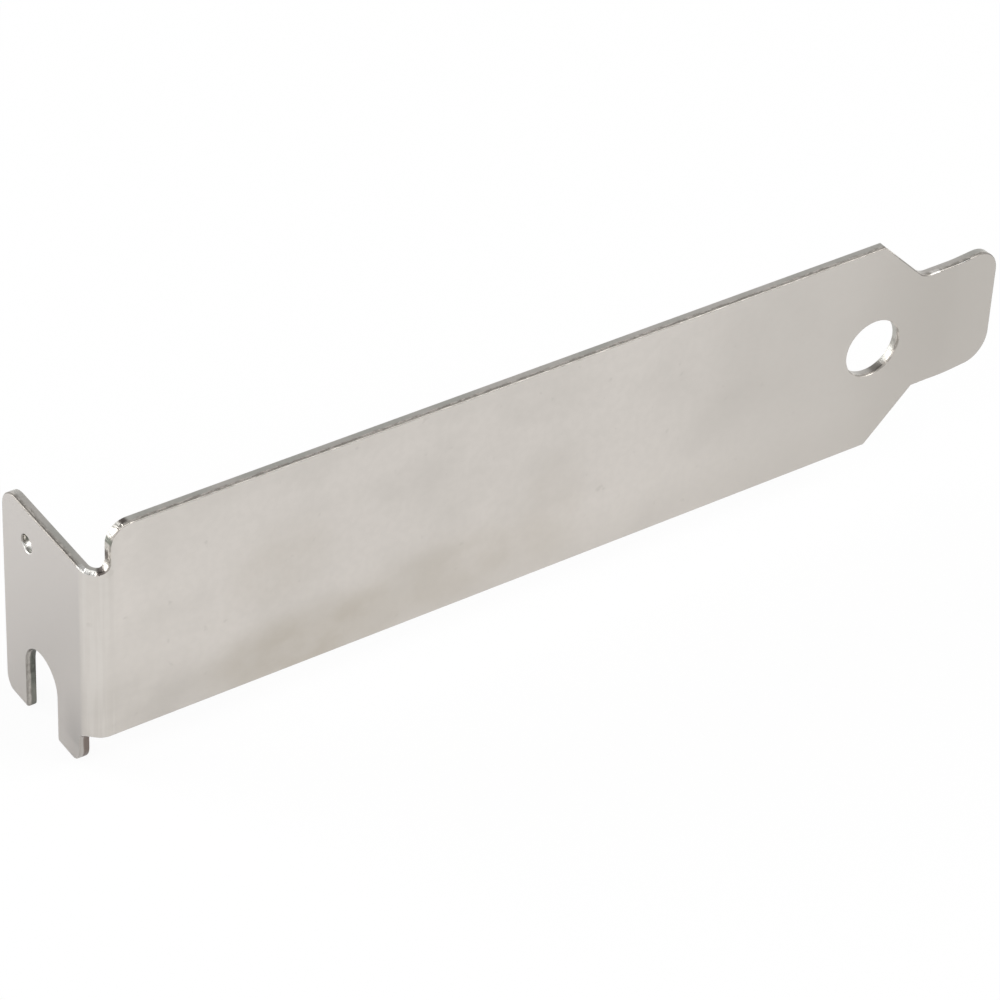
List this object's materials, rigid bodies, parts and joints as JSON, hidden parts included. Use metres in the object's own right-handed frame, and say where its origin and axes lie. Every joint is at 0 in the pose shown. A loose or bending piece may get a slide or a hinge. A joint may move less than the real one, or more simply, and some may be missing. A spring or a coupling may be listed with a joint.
{
  "type": "expansion slot cover bracket",
  "caption": "Low-profile slot cover: a folded strip of plated sheet steel with a notched screw tab, a stepped neck, a round hole and a narrow tongue between sloped shoulders.",
  "frame": {"origin": "on the axis of the screw notch's round end, at the screw tab's outer face", "axes": "+X along the strip from the screw tab to the tongue, +Y the way the tab is folded, +Z across the strip's width, away from the notch's mouth"},
  "size_m": [0.0795, 0.0124, 0.0222],
  "materials": {
    "plated_steel": "satin nickel plate over rolled sheet, bright sheared edges"
  },
  "bodies": {
    "root": {"slot_cover": "plated_steel"}
  },
  "joints": []
}
